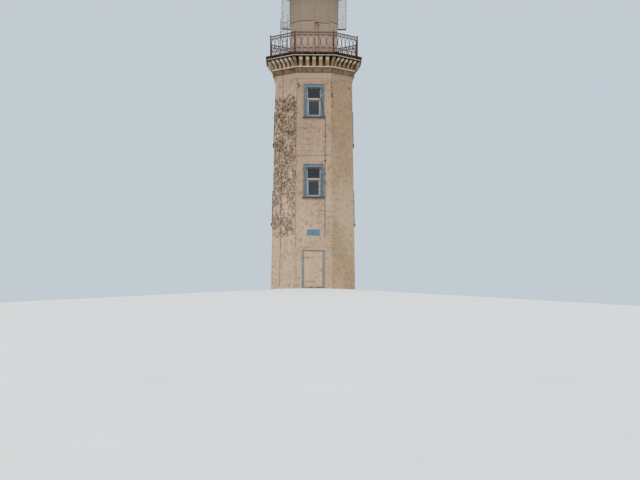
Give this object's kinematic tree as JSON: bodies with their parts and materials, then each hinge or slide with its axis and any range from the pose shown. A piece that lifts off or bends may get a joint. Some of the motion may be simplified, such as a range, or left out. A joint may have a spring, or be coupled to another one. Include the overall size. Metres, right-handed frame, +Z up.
{
  "type": "lighthouse",
  "caption": "Octagonal plastered stone lighthouse with a corbelled railed gallery, a plate-clad drum, a glazed domed lantern, blue-framed windows and a hinged entrance door.",
  "frame": {"origin": "centre of the tower's foot on the ground", "axes": "+Z up, the entrance faces -Y"},
  "size_m": [5.43, 5.43, 20.9123],
  "materials": {
    "plaster": "weathered lime plaster",
    "floor_stone": "worn",
    "cornice_plaster": "weathered lime plaster",
    "corbel_stone": "weathered",
    "slab_stone": "dark, weathered",
    "railing_iron": "rusty",
    "drum_steel": "faded cream paint",
    "lantern_steel": "faded cream paint",
    "roof_metal": "grey paint",
    "glass": "clear",
    "mesh_steel": "galvanised",
    "dark_iron": "rusty",
    "lamp_metal": "dark",
    "blue_wood": "flaking blue paint",
    "sill_stone": "dark",
    "cream_wood": "cream paint",
    "door_wood": "pinkish beige paint",
    "plaque_enamel": "bare blue enamel",
    "conductor_metal": "dull",
    "cable_rubber": "black sheath"
  },
  "bodies": {
    "tower": {"ground_floor": "floor_stone", "front_pier_left": "plaster", "front_pier_right": "plaster", "front_wall": "plaster", "front_right_wall": "plaster", "right_wall": "plaster", "back_right_wall": "plaster", "back_wall": "plaster", "back_left_wall": "plaster", "left_wall": "plaster", "front_left_wall": "plaster", "cornice": "cornice_plaster", "corbels": "corbel_stone", "gallery_slab": "slab_stone", "railing_panels": "railing_iron", "railing_posts": "railing_iron", "drum_lower_plates": "drum_steel", "drum_upper_plates": "drum_steel", "drum_ribs": "drum_steel", "gallery_door": "drum_steel", "lantern_deck": "lantern_steel", "lantern_railing": "railing_iron", "lantern_curb": "lantern_steel", "lantern_head": "lantern_steel", "lantern_mullions": "lantern_steel", "lantern_glass": "glass", "lantern_roof": "roof_metal", "ball_vent": "roof_metal", "mesh_screens": "mesh_steel", "ladder": "dark_iron", "bracket_lamp": "lamp_metal", "window_surrounds": "blue_wood", "window_sills": "sill_stone", "window_frames": "blue_wood", "window_sashes": "cream_wood", "window_glass": "glass", "door_frame": "blue_wood", "threshold": "floor_stone", "door_pintles": "dark_iron", "plaque": "plaque_enamel", "lightning_conductor": "conductor_metal", "wall_cable": "cable_rubber"},
    "door": {"door_leaf": "door_wood", "door_fittings": "dark_iron"}
  },
  "joints": [
    {"name": "door_hinge", "type": "hinge", "parent": "tower", "child": "door", "pos_m": [-0.507, -2.28622, 1.1], "axis": [0, 0, -1], "range_deg": [0, 100]}
  ]
}
